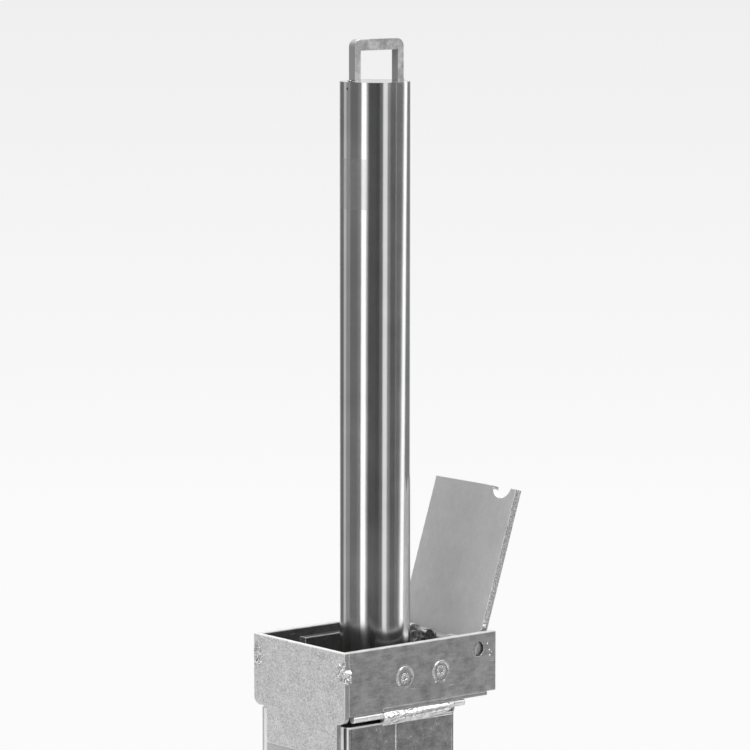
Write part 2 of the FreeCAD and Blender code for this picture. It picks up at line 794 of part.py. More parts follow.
def lockBezel():
    """Steel ring round the lock's face, with two ears for the dust cap's pin."""
    body = newBody("lock_bezel")
    ring = sketchOn(body, "XZ_Plane", "-case_front")
    circle(ring, "lock_from_axis", lockUp, "bezel_outer")
    circle(ring, "lock_from_axis", lockUp, lockHole)
    pad(body, ring, "bezel_thick")
    ears = sketchOn(body, "XZ_Plane", "-case_front + bezel_thick / 2")
    rectangle(ears, f"{pinAcross} - cap_pin_round", f"{pinAcross} + cap_pin_round",
              f"{pinUp} - cap_strap / 2 - cap_ear", f"{pinUp} + cap_strap / 2 + cap_ear")
    pad(body, ears, "bezel_thick / 2 + cap_gap + dust_cap_thick / 2 + cap_pin_round")
    bore = sketchOn(body, "XZ_Plane", "-case_front")
    circle(bore, "lock_from_axis", lockUp, lockHole)
    cut(body, bore, "bezel_thick - cap_gap", True)
    gap = sketchOn(body, "XZ_Plane", "-case_front + bezel_thick / 2")
    rectangle(gap, f"{pinAcross} - cap_strap", f"{pinAcross} + cap_strap",
              f"{pinUp} - cap_strap / 2", f"{pinUp} + cap_strap / 2")
    cut(body, gap, "bezel_outer", True)
    hole = sketchOn(body, "XY_Plane", pinUp)
    circle(hole, pinAcross, pinAlong, "cap_pin_round + 2 * turn_play")
    cut(body, hole)
    return body


def capPin():
    length = "(cap_strap + 2 * cap_ear)"
    rod("cap_pin", "cap_pin_round", length, pinAcross, pinAlong, f"{pinUp} - {length} / 2")


def dustCap():
    """Round cover for the keyhole, swung open on its pin."""
    body = newBody("dust_cap")
    face = sketchOn(body, "YZ_Plane", f"{pinAcross} - dust_cap_thick / 2")
    circle(face, f"{pinAlong} - cap_pin_from_lock", pinUp, "dust_cap_round")
    pad(body, face, "dust_cap_thick")
    strap = sketchOn(body, "YZ_Plane", f"{pinAcross} - dust_cap_thick / 2")
    half = "(cap_strap / 2 - turn_play)"
    rectangle(strap, f"{pinAlong} - cap_pin_from_lock", f"{pinAlong} + strap_past_pin",
              f"{pinUp} - {half}", f"{pinUp} + {half}")
    pad(body, strap, "dust_cap_thick")
    hole = sketchOn(body, "XY_Plane", pinUp)
    circle(hole, pinAcross, pinAlong, "cap_pin_round + 2 * turn_play")
    cut(body, hole)
    return body


def lockBolt():
    rod("lock_bolt", "bolt_round", "bolt_length", "tube_outer / 2 + bolt_gap", "bolt_aside", boltUp, alongX)


def makeParts():
    casingTube()
    casingBasePlate()
    baseWeld()
    baseBuffer()
    endPlate()
    longWall("near_wall", wallInside)
    longWall("far_wall", "-box_width / 2")
    floorPlate()
    guideSleeve()
    packingBars()
    seamWelds()
    cornerWelds()
    lidRest("near_lid_rest", f"{wallInside} - rest_thick")
    lidRest("far_lid_rest", f"-{wallInside}")
    plugWelds("near_plug_welds", f"-{wallInside}", FreeCAD.Rotation(xAxis, 90))
    plugWelds("far_plug_welds", wallInside, alongY)
    lidPlate()
    hingeRod()
    hingeWelds()
    postTube()
    postCap()
    postHandle()
    handleWelds()
    postFootPlate()
    lockBracket()
    lockPivotPin()
    lockCase()
    lockCylinder()
    lockBezel()
    keyPlug()
    capPin()
    dustCap()
    lockBolt()


nodes = [
    "casing_tube", "casing_base_plate", "base_weld", "base_buffer", "end_plate", "near_wall", "far_wall",
    "floor_plate", "guide_sleeve", "near_packing_bar", "far_packing_bar", "cross_packing_bar",
    "near_seam_weld", "far_seam_weld", "cross_seam_weld", "corner_welds", "near_lid_rest", "far_lid_rest",
    "near_plug_welds", "far_plug_welds", "lid_plate", "hinge_rod", "hinge_welds", "post_tube", "post_cap",
    "post_handle", "handle_welds", "post_foot_plate", "lock_bracket", "lock_pivot_pin",
    "lock_case", "lock_cylinder", "lock_bezel", "key_plug", "cap_pin", "dust_cap", "lock_bolt",
]


def checkModel():
    doc.recompute()
    for thing in doc.Objects:
        if "Invalid" in thing.State or "Error" in thing.State:
            raise ValueError(f"{thing.Label} failed: {thing.State}")
    for label in nodes:
        shape = doc.getObjectsByLabel(label)[0].Shape
        if shape.isNull() or not shape.isValid() or not shape.Solids:
            raise ValueError(f"{label} has no sound solid")


def writeParts():
    for label in nodes:
        shape = doc.getObjectsByLabel(label)[0].Shape
        shape.exportStep(f"parts/{label}.step")
        box = shape.BoundBox
        print(f"{label:20s} {len(shape.Solids)} solid  x {box.XMin:7.1f} {box.XMax:7.1f}  "
              f"y {box.YMin:6.1f} {box.YMax:6.1f}  z {box.ZMin:7.1f} {box.ZMax:7.1f}")


sheet = makeSheet()
makeParts()
checkModel()
writeParts()
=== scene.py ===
import json
import math

import bmesh
import bpy
from mathutils import Matrix, Vector, noise


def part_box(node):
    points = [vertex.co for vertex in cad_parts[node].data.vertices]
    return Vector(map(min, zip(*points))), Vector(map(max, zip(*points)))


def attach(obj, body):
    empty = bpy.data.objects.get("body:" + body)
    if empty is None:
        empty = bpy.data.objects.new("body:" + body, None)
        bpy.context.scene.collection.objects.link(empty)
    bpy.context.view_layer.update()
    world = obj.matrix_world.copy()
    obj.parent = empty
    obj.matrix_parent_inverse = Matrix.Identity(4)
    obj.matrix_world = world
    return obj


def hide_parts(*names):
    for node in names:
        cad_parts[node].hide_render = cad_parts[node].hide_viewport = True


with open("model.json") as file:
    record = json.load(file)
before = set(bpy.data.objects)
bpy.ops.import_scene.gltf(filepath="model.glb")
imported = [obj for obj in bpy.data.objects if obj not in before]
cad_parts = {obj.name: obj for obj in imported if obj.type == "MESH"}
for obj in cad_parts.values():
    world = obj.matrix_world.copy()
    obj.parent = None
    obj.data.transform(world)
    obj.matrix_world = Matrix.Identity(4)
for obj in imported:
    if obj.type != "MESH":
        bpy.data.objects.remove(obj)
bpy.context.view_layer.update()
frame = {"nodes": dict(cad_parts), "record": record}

nodes = frame["nodes"]
mm = 0.001
# Camera fitted to the box's edges in the photograph: place and line of sight in metres, focal length and
# side of the picture in pixels, sensor in millimetres
photo = {
    "eye": (-2.79535, -3.40620, 1.69864),
    "look": (0.62953, 0.76708, -0.12359),
    "focal": 4138.4,
    "frame": 750,
    "sensor": 36,
    "farthest": 100,
}
towardsCamera = math.atan2(-photo["look"][1], -photo["look"][0])
print("stage: frame loaded,", len(nodes), "nodes")


def hexColour(text):
    # sRGB hex to the linear values that a shader takes
    linear = []
    for start in (0, 2, 4):
        part = int(text[start:start + 2], 16) / 255
        linear.append(part / 12.92 if part <= 0.04045 else ((part + 0.055) / 1.055) ** 2.4)
    return (*linear, 1.0)


def addNode(tree, kind, settings=None, links=None):
    # lower-case settings belong to the node, all others to its sockets
    node = tree.nodes.new(kind)
    for name, value in (settings or {}).items():
        if isinstance(name, str) and name[0].islower():
            setattr(node, name, value)
        else:
            node.inputs[name].default_value = value
    for name, source in (links or {}).items():
        tree.links.new(source, node.inputs[name])
    return node


def newMaterial(name):
    material = bpy.data.materials.new(name)
    material.use_nodes = True
    material.node_tree.nodes.clear()
    return material, material.node_tree


def closeMaterial(tree, settings, links):
    shader = addNode(tree, "ShaderNodeBsdfPrincipled", settings, links)
    addNode(tree, "ShaderNodeOutputMaterial", links={"Surface": shader.outputs[0]})


def twoTones(tree, pattern, dark, light, low=0.3, high=0.7):
    # a pattern's low values in the dark tone, its high ones in the light tone
    ramp = addNode(tree, "ShaderNodeValToRGB", links={"Fac": pattern})
    ramp.color_ramp.elements[0].position = low
    ramp.color_ramp.elements[0].color = hexColour(dark)
    ramp.color_ramp.elements[1].position = high
    ramp.color_ramp.elements[1].color = hexColour(light)
    return ramp.outputs["Color"]


def zone(tree, reads, limits, share):
    # a patch that starts at each limit's first number and is full at its second
    reading, start, full = limits[0]
    mask = addNode(tree, "ShaderNodeMapRange", {"From Min": start, "From Max": full, "To Max": share},
                   {"Value": reads[reading]}).outputs[0]
    for reading, start, full in limits[1:]:
        edge = addNode(tree, "ShaderNodeMapRange", {"From Min": start, "From Max": full},
                       {"Value": reads[reading]})
        mask = addNode(tree, "ShaderNodeMath", {"operation": "MULTIPLY"},
                       {0: mask, 1: edge.outputs[0]}).outputs[0]
    return mask


def zonesOf(tree, reads, zones, facts):
    # all zones that this finish has, joined into one mask
    joined = None
    for strength, factor, limits in zones:
        if not facts[strength]:
            continue
        mask = zone(tree, reads, limits, facts[strength] * factor)
        if joined is not None:
            mask = addNode(tree, "ShaderNodeMath", {"operation": "MAXIMUM"}, {0: joined, 1: mask}).outputs[0]
        joined = mask
    return joined


# Where the finishes measure from: the hinge rod's axis and the casing's middle plane
rodLow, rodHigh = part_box("hinge_rod")
rodAxis = ((rodLow.x + rodHigh.x) / 2, 0, (rodLow.z + rodHigh.z) / 2)
casingLow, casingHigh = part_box("casing_tube")
casingMiddle = (casingLow.x + casingHigh.x) / 2


def surfaceReads(tree, place):
    # where a spot lies and which way its face looks
    where = addNode(tree, "ShaderNodeSeparateXYZ", links={"Vector": place}).outputs
    normal = addNode(tree, "ShaderNodeNewGeometry").outputs["Normal"]
    facing = addNode(tree, "ShaderNodeSeparateXYZ", links={"Vector": normal}).outputs
    aside = addNode(tree, "ShaderNodeMath", {"operation": "ABSOLUTE"}, {0: where["Y"]})
    level = addNode(tree, "ShaderNodeMapping", {"Scale": (1, 0, 1)}, {"Vector": place})
    away = addNode(tree, "ShaderNodeVectorMath", {"operation": "DISTANCE", 1: rodAxis}, {0: level.outputs[0]})
    return {"x": where["X"], "y": where["Y"], "height": where["Z"], "aside": aside.outputs[0],
            "fromRod": away.outputs["Value"], "normal": normal, "faceX": facing["X"], "faceY": facing["Y"],
            "faceUp": facing["Z"]}


def cornerReads(tree, reads):
    # how far a spot of the casing is from its middle plane, and from the diagonal of the nearest corner
    moved = addNode(tree, "ShaderNodeMath", {"operation": "SUBTRACT", 1: casingMiddle}, {0: reads["x"]})
    along = addNode(tree, "ShaderNodeMath", {"operation": "ABSOLUTE"}, {0: moved.outputs[0]}).outputs[0]
    apart = addNode(tree, "ShaderNodeMath", {"operation": "SUBTRACT"},
                    {0: along, 1: reads["aside"]}).outputs[0]
    split = addNode(tree, "ShaderNodeMath", {"operation": "ABSOLUTE"}, {0: apart}).outputs[0]
    return {"along": along, "apart": apart, "split": split}


# Finishes

galvanised = {
    "dark": "7E7E7E", "light": "B8B8B8", "toneLow": 0.36, "toneHigh": 0.62,   # zinc, dull to fresh
    "cloud": 15 * mm, "streak": 3.2 * mm, "streaked": 0.4, "grit": 1.3 * mm, "gritty": 0.3,
    "drawn": (0.3, 0.3, 1.0),                        # rolling lines lie level
    "metallic": 0.6, "wornAndHighlightMetal": 0.15, "roughLow": 0.30, "roughHigh": 0.44,
    "bump": 0.16, "bumpDeep": 0.5 * mm,
    # the edge tone is the white of the painted edge and top-edge highlights
    "edge": 1.2 * mm, "edgeTone": "FFFFFF", "wornEdgeHighlight": 0.95, "rimHighlight": 0.5,
    "scratch": 0.4, "scratchWide": 2.4 * mm,         # wider than the real ones, so that they show
    "scratchTurn": (0.4, 0.55, 0.5), "scratchDrawn": (0.1, 1.0, 1.0),
    "grimeAndShade": 0.7, "grimeAndShadeTone": "3C3C3C",             # inside of the box: dirt and painted shade
    "boreShade": 1.0,                                    # painted shade in the hinge rod's bores
    "torn": 0.0,                                     # rough cut edges of the lid
    "casingPaintedLight": 0.0,                                    # painted reflections along the casing's round corners, a painted highlight on its top edge and painted light on its left face
    "nearFaceShade": 0.0,                                  # painted shade on faces that look along -Y, such as a plate's near cut edge
}
casingSteel = dict(galvanised, dark="727272", light="ACACAC", metallic=0.8, roughLow=0.17, roughHigh=0.30,
                   streaked=0.25, bump=0.22, casingPaintedLight=0.95, wornAndHighlightMetal=0.5)
sprayedPlate = dict(galvanised, dark="A6A6A6", light="EAEAEA", drawn=(0.7, 0.7, 1.0), grit=1.2 * mm,
                    gritty=0.65, scratch=0.1, nearFaceShade=0.4)
lidPlate = dict(galvanised, dark="CECECE", light="E0E0E0", cloud=34 * mm, streak=6 * mm, drawn=(1, 1, 0.5),
                grit=1.6 * mm, bump=0.08, edge=0.8 * mm, edgeTone="F4F4F4", scratch=0.1, rimHighlight=0.0, grimeAndShade=0.0,
                torn=0.75, nearFaceShade=0.35, metallic=0.9)

# Bright and dull zones of the zinc, several of them painted highlight, reflection, light and shade: the fact
# that gives its strength, a factor, and its limits
upperCasing = ("height", 560 * mm, 700 * mm)
leftFace = ("faceX", -0.8, -0.97)
brightZones = [
    ("wornEdgeHighlight", 1.0, [("sameWay", 0.995, 0.94)]),                                  # edges painted bright: some wear, mostly a painted highlight
    ("scratch", 1.0, [("lines", 0.72, 0.80)]),
    ("rimHighlight", 1.0, [("faceUp", 0.9, 0.98), ("height", 866 * mm, 867 * mm)]),      # painted highlight on the box's up-facing top edges
    ("torn", 1.0, [("aside", 66.2 * mm, 66.6 * mm), ("gritty", 0.5, 0.58)]),    # the lid's cut sides
    ("casingPaintedLight", 1.0, [upperCasing, ("aside", 63.4 * mm, 63.8 * mm), ("aside", 68.8 * mm, 68.2 * mm),
                    ("along", 74.2 * mm, 74.6 * mm)]),                          # painted reflection where each bend starts
    ("casingPaintedLight", 1.0, [upperCasing, ("split", 1.5 * mm, 1.1 * mm),
                    ("aside", 69 * mm, 70 * mm)]),                              # painted reflection in the middle of each bend
    ("casingPaintedLight", 1.0, [("height", casingHigh.z - 2.2 * mm, casingHigh.z - 1.4 * mm),
                    ("aside", 73.0 * mm, 74.0 * mm)]),                          # painted highlight on the casing's top edge
    ("casingPaintedLight", 0.6, [leftFace, ("y", -57 * mm, -55 * mm)]),                      # painted light on the left face, except its near strip
    ("casingPaintedLight", 0.6, [leftFace, ("height", 745 * mm, 700 * mm)]),                 # and painted light all over it lower down
]
dullZones = [
    # dirt and painted shade on the inner faces of the box
    ("grimeAndShade", 1.0, [("aside", 71 * mm, 70.3 * mm), ("x", -100 * mm, -99.4 * mm)]),
    # painted shade in the hinge rod's bores
    ("boreShade", 1.0, [("fromRod", 8.5 * mm, 8.2 * mm)]),
    # painted shade on faces that look along -Y
    ("nearFaceShade", 1.0, [("faceY", -0.9, -0.98)]),
    # painted reflection: a dark band between the bright lines of each bend
    ("casingPaintedLight", 0.75, [("aside", 56.0 * mm, 56.4 * mm), upperCasing, ("apart", 1.4 * mm, 2.0 * mm)]),
]


def zincSteel(name, facts):
    # dipped steel: clouded grey, level rolling lines, fine grit, a few scratches, edges painted bright as
    # wear and highlight, and painted light, reflection and shade in its zones
    material, tree = newMaterial(name)
    place = addNode(tree, "ShaderNodeTexCoord").outputs["Object"]
    drawn = addNode(tree, "ShaderNodeMapping", {"Scale": facts["drawn"]}, {"Vector": place})
    skewed = addNode(tree, "ShaderNodeMapping",
                     {"Rotation": facts["scratchTurn"], "Scale": facts["scratchDrawn"]}, {"Vector": place})
    cloud = addNode(tree, "ShaderNodeTexNoise",
                    {"Scale": 1 / facts["cloud"], "Detail": 5.0, "Roughness": 0.6}, {"Vector": place})
    streak = addNode(tree, "ShaderNodeTexNoise",
                     {"Scale": 1 / facts["streak"], "Detail": 4.0, "Roughness": 0.65},
                     {"Vector": drawn.outputs[0]})
    grit = addNode(tree, "ShaderNodeTexNoise", {"Scale": 1 / facts["grit"], "Detail": 2.0}, {"Vector": place})
    lines = addNode(tree, "ShaderNodeTexNoise", {"Scale": 1 / facts["scratchWide"], "Detail": 1.0},
                    {"Vector": skewed.outputs[0]})
    soft = addNode(tree, "ShaderNodeMix", {"data_type": "FLOAT", 0: facts["streaked"]},
                   {2: cloud.outputs["Fac"], 3: streak.outputs["Fac"]})
    fine = addNode(tree, "ShaderNodeMix", {"data_type": "FLOAT", 0: facts["gritty"]},
                   {2: soft.outputs[0], 3: grit.outputs["Fac"]})
    tone = twoTones(tree, fine.outputs[0], facts["dark"], facts["light"], facts["toneLow"], facts["toneHigh"])
    edge = addNode(tree, "ShaderNodeBevel", {"samples": 4, "Radius": facts["edge"]})
    reads = surfaceReads(tree, place)
    if facts["casingPaintedLight"]:
        reads.update(cornerReads(tree, reads))
    same = addNode(tree, "ShaderNodeVectorMath", {"operation": "DOT_PRODUCT"},
                   {0: edge.outputs[0], 1: reads["normal"]})
    reads.update({"sameWay": same.outputs["Value"], "lines": lines.outputs["Fac"],
                  "gritty": grit.outputs["Fac"]})
    bright = zonesOf(tree, reads, brightZones, facts)
    dull = zonesOf(tree, reads, dullZones, facts)
    # dirt and painted shade darken the zinc, then the bright zones and painted highlights lighten it
    dirtyAndShaded = addNode(tree, "ShaderNodeMix", {"data_type": "RGBA", 7: hexColour(facts["grimeAndShadeTone"])},
                    {0: dull, 6: tone})
    colour = addNode(tree, "ShaderNodeMix", {"data_type": "RGBA", 7: hexColour(facts["edgeTone"])},
                     {0: bright, 6: dirtyAndShaded.outputs[2]})
    metal = addNode(tree, "ShaderNodeMapRange", {"To Min": facts["metallic"], "To Max": facts["wornAndHighlightMetal"]},
                    {"Value": bright})
    rough = addNode(tree, "ShaderNodeMapRange",
                    {"From Min": 0.3, "From Max": 0.7, "To Min": facts["roughLow"],
                     "To Max": facts["roughHigh"]}, {"Value": fine.outputs[0]})
    bump = addNode(tree, "ShaderNodeBump", {"Strength": facts["bump"], "Distance": facts["bumpDeep"]},
                   {"Height": fine.outputs[0], "Normal": edge.outputs[0]})
    closeMaterial(tree, {}, {"Base Color": colour.outputs[2], "Metallic": metal.outputs[0],
                             "Roughness": rough.outputs[0], "Normal": bump.outputs[0]})
    return material


stainless = {
    "light": "D6D6D6", "dark": "C6C6C6", "smudge": 60 * mm,
    "rough": 0.145, "stretch": 0.78,                 # reflections drawn out across the grinding lines
    "clean": 0.85, "smudged": 1.2,                   # of that roughness
    "grindLine": 0.9 * mm,                           # coarser than the real 0.1 mm lines, so that it shows
    "around": (0.04, 0.04, 1.0),                     # the lines run round the tube
    "bump": 0.06, "bumpDeep": 0.05 * mm,
}


def groundStainless(name, facts):
    # tube ground round and round on a belt: sharp upright bands, blurred up and down
    material, tree = newMaterial(name)
    place = addNode(tree, "ShaderNodeTexCoord").outputs["Object"]
    stretch = addNode(tree, "ShaderNodeMapping", {"Scale": facts["around"]}, {"Vector": place})
    lines = addNode(tree, "ShaderNodeTexNoise",
                    {"Scale": 1 / facts["grindLine"], "Detail": 2.0}, {"Vector": stretch.outputs[0]})
    smudge = addNode(tree, "ShaderNodeTexNoise",
                     {"Scale": 1 / facts["smudge"], "Detail": 4.0}, {"Vector": place})
    colour = twoTones(tree, smudge.outputs["Fac"], facts["dark"], facts["light"])
    spread = addNode(tree, "ShaderNodeMapRange",
                     {"From Min": 0.2, "From Max": 0.8, "To Min": facts["rough"] * facts["clean"],
                      "To Max": facts["rough"] * facts["smudged"]}, {"Value": smudge.outputs["Fac"]})
    bump = addNode(tree, "ShaderNodeBump", {"Strength": facts["bump"], "Distance": facts["bumpDeep"]},
                   {"Height": lines.outputs["Fac"]})
    around = addNode(tree, "ShaderNodeTangent", {"direction_type": "RADIAL", "axis": "Z"})
    closeMaterial(tree, {"Metallic": 1.0, "Anisotropic": facts["stretch"], "Anisotropic Rotation": 0.25},
                  {"Base Color": colour, "Roughness": spread.outputs[0], "Normal": bump.outputs[0],
                   "Tangent": around.outputs[0]})
    return material


handleBar = {
    "dark": "A6A6A6", "light": "E0E0E0", "toneLow": 0.34, "toneHigh": 0.66, "edgeTone": "8A8A8A",
    "blotch": 9 * mm, "rough": 0.36, "metallic": 0.55, "edge": 0.9 * mm, "bump": 0.12, "bumpDeep": 0.2 * mm,
    "sideFrom": 0.6, "sideFull": 0.9,                # by how far a face looks along x
}


def blotchedBar(name, facts):
    # flat bar: blotchy bright faces, darker on the sides that look along x
    material, tree = newMaterial(name)
    place = addNode(tree, "ShaderNodeTexCoord").outputs["Object"]
    blotch = addNode(tree, "ShaderNodeTexNoise",
                     {"Scale": 1 / facts["blotch"], "Detail": 3.0, "Roughness": 0.6}, {"Vector": place})
    face = twoTones(tree, blotch.outputs["Fac"], facts["dark"], facts["light"], facts["toneLow"],
                    facts["toneHigh"])
    normal = addNode(tree, "ShaderNodeNewGeometry").outputs["Normal"]
    facing = addNode(tree, "ShaderNodeSeparateXYZ", links={"Vector": normal}).outputs
    side = addNode(tree, "ShaderNodeMath", {"operation": "ABSOLUTE"}, {0: facing["X"]}).outputs[0]
    sidesAlongX = zone(tree, {"side": side}, [("side", facts["sideFrom"], facts["sideFull"])], 1.0)
    colour = addNode(tree, "ShaderNodeMix", {"data_type": "RGBA", 7: hexColour(facts["edgeTone"])},
                     {0: sidesAlongX, 6: face})
    soft = addNode(tree, "ShaderNodeBevel", {"samples": 4, "Radius": facts["edge"]})
    bump = addNode(tree, "ShaderNodeBump", {"Strength": facts["bump"], "Distance": facts["bumpDeep"]},
                   {"Height": blotch.outputs["Fac"], "Normal": soft.outputs[0]})
    closeMaterial(tree, {"Metallic": facts["metallic"], "Roughness": facts["rough"]},
                  {"Base Color": colour.outputs[2], "Normal": bump.outputs[0]})
    return material


rodSteel = {
    "dull": "8A8A8A", "face": "C0C0C0", "slot": "FFFFFF", "grain": 3 * mm,
    "faceAt": 75.1 * mm, "core": 7.7 * mm,           # inside these the rod's end is its slot
    "faceSoft": 0.2 * mm, "coreSoft": 0.1 * mm,
    "metallic": 0.8, "slotMetal": 0.1, "rough": 0.3,
}


def slottedRod(name, facts):
    # drawn rod: dull end faces and a painted highlight in its driver slot
    material, tree = newMaterial(name)
    place = addNode(tree, "ShaderNodeTexCoord").outputs["Object"]
    slot = zone(tree, surfaceReads(tree, place),
                [("aside", facts["faceAt"] + facts["faceSoft"], facts["faceAt"]),
                 ("fromRod", facts["core"] + facts["coreSoft"], facts["core"])], 1.0)
    grain = addNode(tree, "ShaderNodeTexNoise",
                    {"Scale": 1 / facts["grain"], "Detail": 4.0}, {"Vector": place})
    face = twoTones(tree, grain.outputs["Fac"], facts["dull"], facts["face"])
    colour = addNode(tree, "ShaderNodeMix", {"data_type": "RGBA", 7: hexColour(facts["slot"])},
                     {0: slot, 6: face})
    metal = addNode(tree, "ShaderNodeMapRange", {"To Min": facts["metallic"], "To Max": facts["slotMetal"]},
                    {"Value": slot})
    closeMaterial(tree, {"Roughness": facts["rough"]},
                  {"Base Color": colour.outputs[2], "Metallic": metal.outputs[0]})
    return material


# Small parts: dark and light tone, metallic, roughness, grain and the radius that softens their edges
smallFinishes = {
    "zincPlatedSteel": ("A0A0A0", "B8B8B8", 1.0, 0.35, 6 * mm, 0.4 * mm),       # even satin grey
    "blackedSteel": ("1E1E1E", "505050", 0.7, 0.3, 5 * mm, 0.4 * mm),           # near black, soft sheen
    "brightPlatedBrass": ("C8C8C8", "F8F8F8", 0.8, 0.13, 4 * mm, 0.9 * mm),     # a mirror with round edges
    "mouldedBlackPlastic": ("3C3C3C", "7A7A7A", 0.0, 0.22, 4 * mm, 0.4 * mm),   # dark with broad highlights
    "mouldedRubber": ("1A1A1A", "262626", 0.0, 0.75, 2 * mm, 0.4 * mm),         # dull black
    "whiteHighlightDrawnBar": ("F2F2F2", "FFFFFF", 0.45, 0.26, 8 * mm, 0.4 * mm),       # white all over: a painted highlight along the drawn bar
    "heatTintedWeld": ("1E1E1E", "F0F0F0", 0.9, 0.22, 2.5 * mm, 0.4 * mm),      # black and bright flecks
    "zincOverWeld": ("C8C8C8", "FCFCFC", 0.8, 0.18, 6 * mm, 0.4 * mm),          # wet-looking white lumps
    "zincOverSpotWeld": ("A8A8A8", "F4F4F4", 0.8, 0.17, 5 * mm, 0.4 * mm),      # the same, greyer
    "zincOverPlug": ("B0B0B0", "DCDCDC", 0.78, 0.2, 2 * mm, 0.4 * mm),          # greyer again, fine flecks
}
smallWear = {"cleanRough": 0.8, "wornRough": 1.25, "bump": 0.15, "bumpDeep": 0.1 * mm}


def smallFinish(name, dark, light, metallic, rough, grain, edge):
    # a little wear and grain, and softened edges that catch the light
    material, tree = newMaterial(name)
    place = addNode(tree, "ShaderNodeTexCoord").outputs["Object"]
    wear = addNode(tree, "ShaderNodeTexNoise", {"Scale": 1 / grain, "Detail": 4.0}, {"Vector": place})
    colour = twoTones(tree, wear.outputs["Fac"], dark, light)
    spread = addNode(tree, "ShaderNodeMapRange",
                     {"To Min": rough * smallWear["cleanRough"], "To Max": rough * smallWear["wornRough"]},
                     {"Value": wear.outputs["Fac"]})
    soft = addNode(tree, "ShaderNodeBevel", {"samples": 4, "Radius": edge})
    bump = addNode(tree, "ShaderNodeBump", {"Strength": smallWear["bump"], "Distance": smallWear["bumpDeep"]},
                   {"Height": wear.outputs["Fac"], "Normal": soft.outputs[0]})
    closeMaterial(tree, {"Metallic": metallic},
                  {"Base Color": colour, "Roughness": spread.outputs[0], "Normal": bump.outputs[0]})
    return material


small = {name: smallFinish(name, *facts) for name, facts in smallFinishes.items()}
slotFinishes = {
    "galvanised": zincSteel("hotDipGalvanisedSteel", galvanised),
    "lid_steel": zincSteel("dullZincPlate", lidPlate),
    "stainless": groundStainless("beltGroundStainless", stainless),
    "inner_steel": small["zincPlatedSteel"],
    "lock_case_black": small["blackedSteel"],
    "lock_chrome": small["brightPlatedBrass"],
    "black_plastic": small["mouldedBlackPlastic"],
    "rubber": small["mouldedRubber"],
}
# Pieces that look different from the rest of their slot
ownFinishes = {
    "post_handle": blotchedBar("flatStainlessBar", handleBar),
    "handle_welds": small["heatTintedWeld"],
    "end_plate": zincSteel("sprayedZincPlate", sprayedPlate),
    "casing_tube": zincSteel("dippedCasingSteel", casingSteel),
    "hinge_rod": slottedRod("slottedHingeRod", rodSteel),
    "near_packing_bar": small["whiteHighlightDrawnBar"],
    "far_packing_bar": small["whiteHighlightDrawnBar"],
    "cross_packing_bar": small["whiteHighlightDrawnBar"],
}
slotOf = {part["node"]: part["material_slot"] for part in frame["record"]["subparts"]}
for name, piece in nodes.items():
    piece.data.materials.clear()
    piece.data.materials.append(ownFinishes.get(name, slotFinishes[slotOf[name]]))
print("stage: finishes on")

# Weld beads: each is cast over its plain solid, with a form of its own. Their sizes are in millimetres,
# and a share runs from 0 to 1 along the bead.


def swell(value, middle, width):
    return math.exp(-((value - middle) / width) ** 2)


def blend(start, end, share):
    return start + (end - start) * min(1.0, max(0.0, share))


lumpNoise = {"fade": 0.9, "finer": 2.1}              # how fast its octaves fade, and how much finer each is


def lumps(spot, grain, octaves):
    return noise.fractal(spot / (grain * mm), lumpNoise["fade"], lumpNoise["finer"], octaves)


seams = {
    "near_seam_weld": {"out": (0, -1, 0), "along": 0},
    "far_seam_weld": {"out": (0, 1, 0), "along": 0},
    "cross_seam_weld": {"out": (1, 0, 0), "along": 1},
}
# A pair gives the start and the end of the run
seamForm = {
    "voxel": 0.55,
    "crest": (6.4, 3.4), "crestWide": (2.8, 1.4), "crestHigh": (2.4, 2.0),
    "valley": 3.6, "valleyDeep": 1.5, "valleyWide": 1.0,
    "blob": 4.2, "blobAt": 0.14, "blobWide": 0.12, "blobBelow": 1, "blobTall": 5.5,
    "bubbles": 1.9, "bubbleGrain": 4.0, "bubbleTall": 4.5, "bubbleOctaves": 1.6,
    "calmFrom": 0.45, "calm": 0.15, "calmRate": 4,
    "endFrom": 0.9, "endDrop": 2.2,
    "sole": (15.5, 8.0), "soleFrom": 0.5, "soleSoft": 1.5, "sink": 5.0,         # the lower edge climbs
    "base": 1.6, "most": 3.2,
}


def seamHeight(spot, node, low, high):
    # a bubbling crest that thins along the run, a groove under it, and a blob where the run started
    form = seamForm
    along = seams[node]["along"]
    share = (spot[along] - low[along]) / (high[along] - low[along])
    drop = (high.z - spot.z) / mm
    crest = blend(*form["crest"], share)
    height = blend(*form["crestHigh"], share) * swell(drop, crest, blend(*form["crestWide"], share))
    height -= form["valleyDeep"] * swell(drop, crest + form["valley"], form["valleyWide"])
    blob = swell(share, form["blobAt"], form["blobWide"])
    blob *= swell(drop, crest + form["blobBelow"], form["blobTall"])
    lively = blend(1.0, form["calm"], (share - form["calmFrom"]) * form["calmRate"])
    lively = lively * swell(drop, crest, form["bubbleTall"]) + blob
    bubbles = lumps(spot, form["bubbleGrain"], form["bubbleOctaves"])
    height += form["blob"] * blob + form["bubbles"] * lively * bubbles
    climb = blend(0.0, 1.0, (share - form["soleFrom"]) / (1 - form["soleFrom"])) ** 2
    sunk = blend(0.0, 1.0, (drop - blend(*form["sole"], climb)) / form["soleSoft"])
    height -= form["base"] + form["sink"] * sunk
    height -= form["endDrop"] * max(0.0, share - form["endFrom"]) / (1 - form["endFrom"])
    return form["most"] * math.tanh(height / form["most"]) if height > 0 else height


plugs = {
    "near_plug_welds": {"out": (0, -1, 0)},
    "far_plug_welds": {"out": (0, 1, 0)},
}
